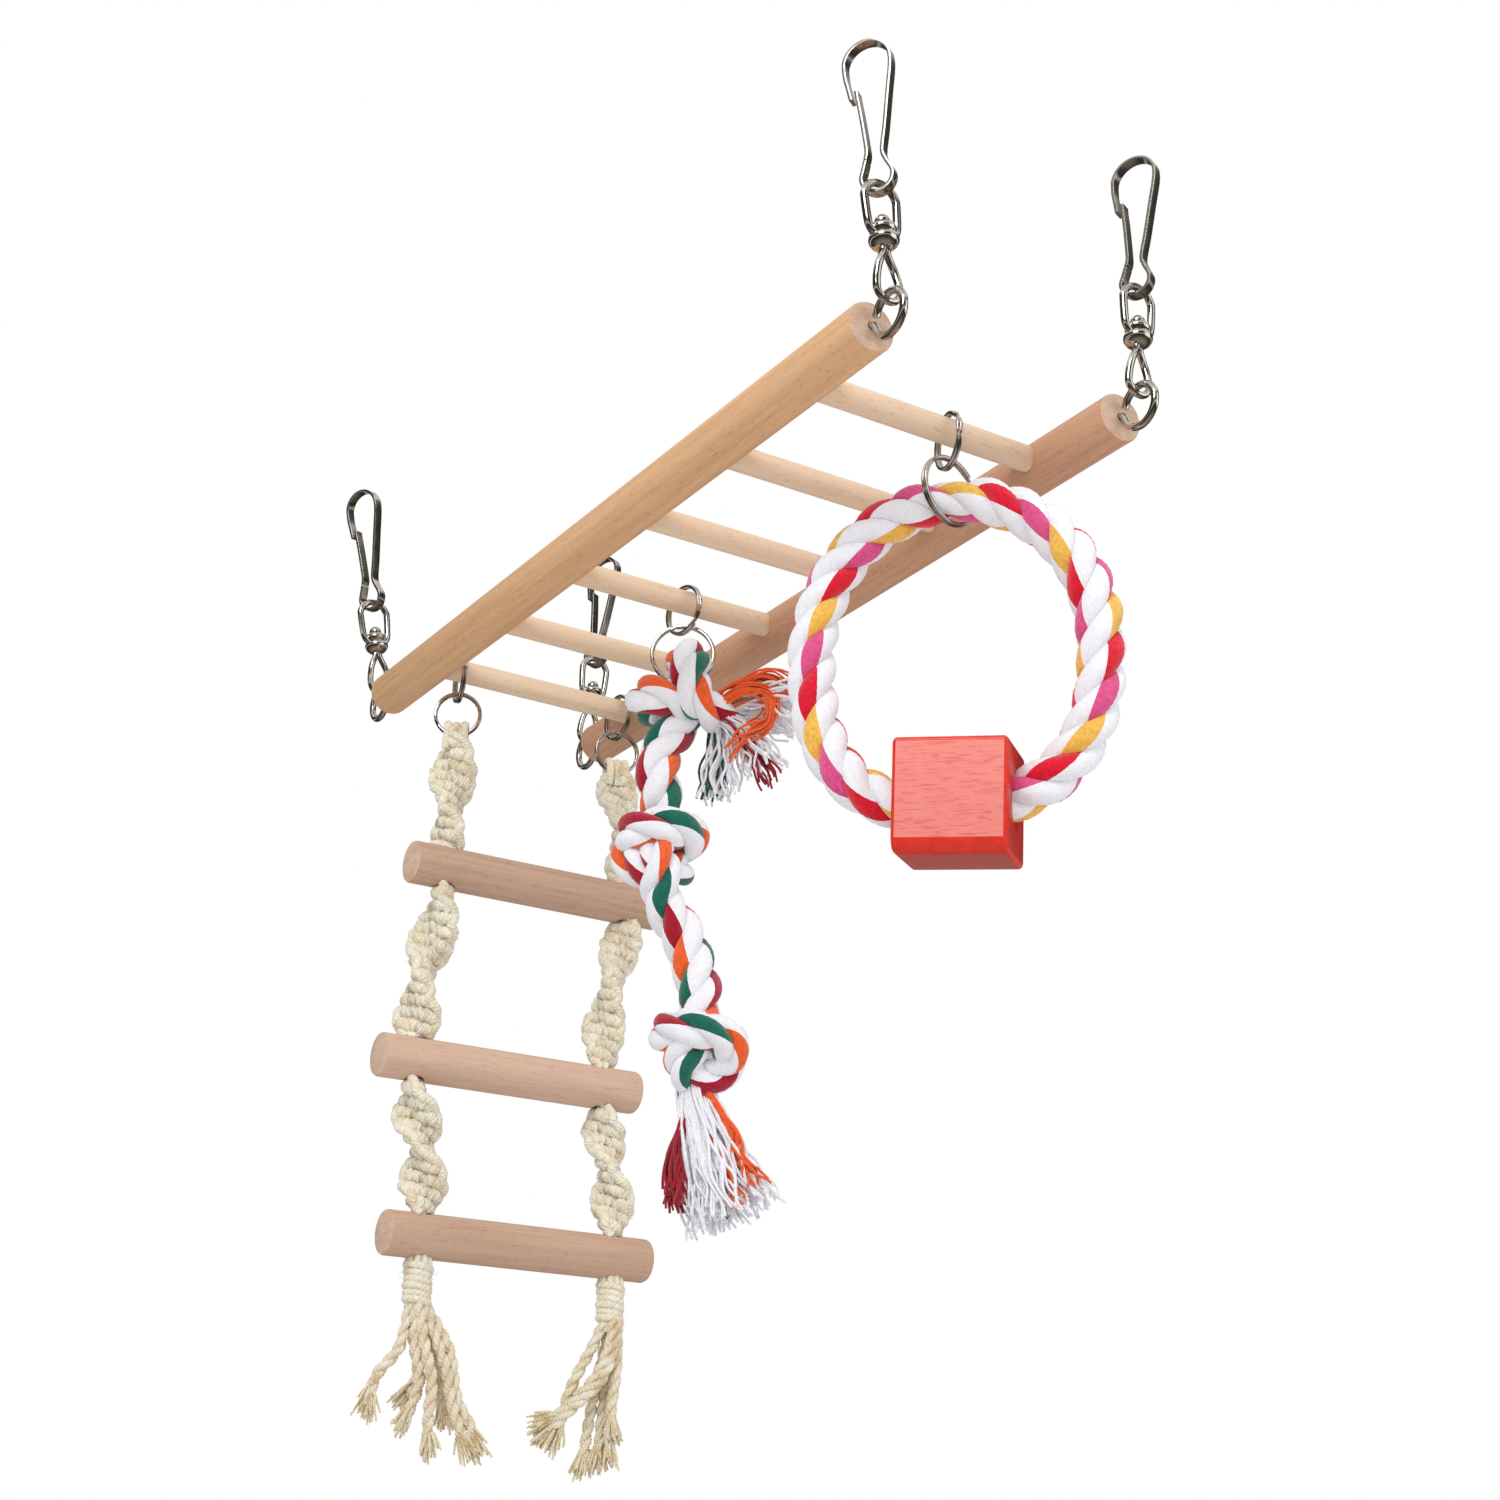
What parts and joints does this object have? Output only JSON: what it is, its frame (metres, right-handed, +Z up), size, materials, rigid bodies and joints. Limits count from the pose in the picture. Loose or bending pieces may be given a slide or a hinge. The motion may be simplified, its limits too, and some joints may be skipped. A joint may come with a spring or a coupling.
{
  "type": "hanging pet bridge with rope ladder",
  "caption": "Small-pet cage bridge of wooden dowels on swivel snap hooks, with a rope ladder, a knotted chew rope and a rope hoop with a red block below.",
  "frame": {"origin": "over the middle of the bridge, at the height where the four hooks bear on the cage bars", "axes": "+Z up, +Y along the bridge from the hoop's end to the ladder's end, +X along the rungs"},
  "size_m": [0.1005, 0.293, 0.3112],
  "materials": {
    "beech": "sanded, unvarnished",
    "pale_wood": "sanded, unvarnished",
    "red_block": "red stain that shows the grain",
    "nickel_wire": "bright nickel plate",
    "spring_steel": "nickel-plated spring strip",
    "split_ring_steel": "nickel-plated split ring",
    "sisal": "knotted natural bast twine",
    "chew_cotton": "laid cotton strands, white with crimson, green and orange",
    "hoop_cotton": "laid cotton strands, white with red, pink and yellow"
  },
  "bodies": {
    "hooks": {"snap_hook_front_left": "spring_steel", "snap_hook_front_right": "spring_steel", "snap_hook_rear_left": "spring_steel", "snap_hook_rear_right": "spring_steel"},
    "bow_front_left": {"swivel_bow_front_left": "nickel_wire", "swivel_barrel_front_left": "nickel_wire"},
    "eye_front_left": {"swivel_eye_front_left": "nickel_wire"},
    "gate_front_left": {"hook_gate_front_left": "spring_steel"},
    "bow_front_right": {"swivel_bow_front_right": "nickel_wire", "swivel_barrel_front_right": "nickel_wire"},
    "eye_front_right": {"swivel_eye_front_right": "nickel_wire"},
    "gate_front_right": {"hook_gate_front_right": "spring_steel"},
    "bow_rear_left": {"swivel_bow_rear_left": "nickel_wire", "swivel_barrel_rear_left": "nickel_wire"},
    "eye_rear_left": {"swivel_eye_rear_left": "nickel_wire"},
    "gate_rear_left": {"hook_gate_rear_left": "spring_steel"},
    "bow_rear_right": {"swivel_bow_rear_right": "nickel_wire", "swivel_barrel_rear_right": "nickel_wire"},
    "eye_rear_right": {"swivel_eye_rear_right": "nickel_wire"},
    "gate_rear_right": {"hook_gate_rear_right": "spring_steel"},
    "bridge": {"rail_left": "beech", "rail_right": "beech", "bridge_rung_1": "pale_wood", "bridge_rung_2": "pale_wood", "bridge_rung_3": "pale_wood", "bridge_rung_4": "pale_wood", "bridge_rung_5": "pale_wood", "bridge_rung_6": "pale_wood", "screw_eye_front_left": "nickel_wire", "screw_eye_front_right": "nickel_wire", "screw_eye_rear_left": "nickel_wire", "screw_eye_rear_right": "nickel_wire"},
    "ladder_rings": {"small_ring_left": "split_ring_steel", "small_ring_right": "split_ring_steel"},
    "ladder_top": {"ladder_ring_left": "split_ring_steel", "ladder_ring_right": "split_ring_steel", "ladder_rope_upper_left": "sisal", "ladder_rope_upper_right": "sisal", "ladder_rung_1": "beech"},
    "ladder_middle": {"ladder_rope_middle_left": "sisal", "ladder_rope_middle_right": "sisal", "ladder_rung_2": "beech"},
    "ladder_bottom": {"ladder_rope_lower_left": "sisal", "ladder_rope_lower_right": "sisal", "ladder_rung_3": "beech", "rope_binding_left": "sisal", "rope_binding_right": "sisal", "rope_tassel_left": "sisal", "rope_tassel_right": "sisal"},
    "hoop_link": {"hoop_small_ring": "split_ring_steel"},
    "hoop_big_link": {"hoop_ring": "split_ring_steel"},
    "hoop": {"hoop_rope": "hoop_cotton", "hoop_block": "red_block"},
    "chew_link": {"chew_small_ring": "split_ring_steel"},
    "chew_top": {"chew_ring": "split_ring_steel", "chew_knot_top": "chew_cotton", "chew_tassel_side": "chew_cotton", "chew_rope_upper": "chew_cotton"},
    "chew_bottom": {"chew_rope_lower": "chew_cotton", "chew_tassel_bottom": "chew_cotton"}
  },
  "joints": [
    {"name": "bridge_swing", "type": "hinge", "parent": "hooks", "child": "bow_front_left", "pos_m": [-0.04083, -0.14, -0.0388], "axis": [1, 0, 0], "range_deg": [-25, 25]},
    {"name": "bridge_level", "type": "hinge", "parent": "bow_front_left", "child": "bridge", "pos_m": [-0.0384, -0.14, -0.0697], "axis": [1, 0, 0], "range_deg": [-25, 25]},
    {"name": "swivel_turn_front_left", "type": "hinge", "parent": "bow_front_left", "child": "eye_front_left", "pos_m": [-0.03997, -0.14, -0.04976], "axis": [-0.0785, 0, 0.9969], "range_deg": [-30, 30]},
    {"name": "gate_open_front_left", "type": "hinge", "parent": "hooks", "child": "gate_front_left", "pos_m": [-0.04264, -0.13832, -0.02971], "axis": [0.8361, 0.5446, 0.0658], "range_deg": [0, 12], "stiffness_Nm_per_rad": 0.1},
    {"name": "bow_swing_front_right", "type": "hinge", "parent": "hooks", "child": "bow_front_right", "pos_m": [0.04002, -0.14, -0.03874], "axis": [1, 0, 0], "range_deg": [-25, 25]},
    {"name": "swivel_turn_front_right", "type": "hinge", "parent": "bow_front_right", "child": "eye_front_right", "pos_m": [0.03945, -0.14, -0.04973], "axis": [0.0523, 0, 0.9986], "range_deg": [-30, 30]},
    {"name": "gate_open_front_right", "type": "hinge", "parent": "hooks", "child": "gate_front_right", "pos_m": [0.03976, -0.13815, -0.02952], "axis": [0.9259, 0.3746, -0.0485], "range_deg": [0, 12], "stiffness_Nm_per_rad": 0.1},
    {"name": "bow_swing_rear_left", "type": "hinge", "parent": "hooks", "child": "bow_rear_left", "pos_m": [-0.04352, 0.14, -0.03913], "axis": [1, 0, 0], "range_deg": [-25, 25]},
    {"name": "swivel_turn_rear_left", "type": "hinge", "parent": "bow_rear_left", "child": "eye_rear_left", "pos_m": [-0.0417, 0.14, -0.04997], "axis": [-0.165, 0, 0.9863], "range_deg": [-30, 30]},
    {"name": "gate_open_rear_left", "type": "hinge", "parent": "hooks", "child": "gate_rear_left", "pos_m": [-0.04587, 0.14181, -0.03019], "axis": [0.8939, 0.4226, 0.1496], "range_deg": [0, 12], "stiffness_Nm_per_rad": 0.1},
    {"name": "bow_swing_rear_right", "type": "hinge", "parent": "hooks", "child": "bow_rear_right", "pos_m": [0.04056, 0.14, -0.03878], "axis": [1, 0, 0], "range_deg": [-25, 25]},
    {"name": "swivel_turn_rear_right", "type": "hinge", "parent": "bow_rear_right", "child": "eye_rear_right", "pos_m": [0.03979, 0.14, -0.04975], "axis": [0.0698, 0, 0.9976], "range_deg": [-30, 30]},
    {"name": "gate_open_rear_right", "type": "hinge", "parent": "hooks", "child": "gate_rear_right", "pos_m": [0.04046, 0.14185, -0.02955], "axis": [0.9249, 0.3746, -0.0647], "range_deg": [0, 12], "stiffness_Nm_per_rad": 0.1},
    {"name": "ladder_swing", "type": "hinge", "parent": "bridge", "child": "ladder_rings", "pos_m": [0, 0.103, -0.073], "axis": [1, 0, 0], "range_deg": [-12, 45]},
    {"name": "ladder_hang", "type": "hinge", "parent": "ladder_rings", "child": "ladder_top", "pos_m": [0, 0.103, -0.0809], "axis": [1, 0, 0], "range_deg": [-8, 10]},
    {"name": "ladder_fold_upper", "type": "hinge", "parent": "ladder_top", "child": "ladder_middle", "pos_m": [0, 0.103, -0.1466], "axis": [1, 0, 0], "range_deg": [-12, 40]},
    {"name": "ladder_fold_lower", "type": "hinge", "parent": "ladder_middle", "child": "ladder_bottom", "pos_m": [0, 0.103, -0.207], "axis": [1, 0, 0], "range_deg": [-16, 40]},
    {"name": "hoop_link_swing", "type": "hinge", "parent": "bridge", "child": "hoop_link", "pos_m": [0.007, -0.103, -0.073], "axis": [1, 0, 0], "range_deg": [-30, 25]},
    {"name": "hoop_link_sway", "type": "hinge", "parent": "hoop_link", "child": "hoop_big_link", "pos_m": [0.007, -0.103, -0.0809], "axis": [0, 1, 0], "range_deg": [-20, 20]},
    {"name": "hoop_swing", "type": "hinge", "parent": "hoop_big_link", "child": "hoop", "pos_m": [0.007, -0.103, -0.0926], "axis": [0.682, -0.7314, 0], "range_deg": [-20, 20]},
    {"name": "chew_link_swing", "type": "hinge", "parent": "bridge", "child": "chew_link", "pos_m": [0.004, 0.0206, -0.073], "axis": [1, 0, 0], "range_deg": [-25, 25]},
    {"name": "chew_sway", "type": "hinge", "parent": "chew_link", "child": "chew_top", "pos_m": [0.004, 0.0206, -0.0809], "axis": [0.5446, 0.8387, 0], "range_deg": [-14, 20]},
    {"name": "chew_bend", "type": "hinge", "parent": "chew_top", "child": "chew_bottom", "pos_m": [0.0036, 0.0202, -0.16851], "axis": [1, 0, 0], "range_deg": [-30, 30]}
  ],
  "couplings": [
    {"joint": "bridge_level", "follows": "bridge_swing", "ratio": -1},
    {"joint": "bow_swing_front_right", "follows": "bridge_swing", "ratio": 1},
    {"joint": "bow_swing_rear_left", "follows": "bridge_swing", "ratio": 1},
    {"joint": "bow_swing_rear_right", "follows": "bridge_swing", "ratio": 1}
  ]
}
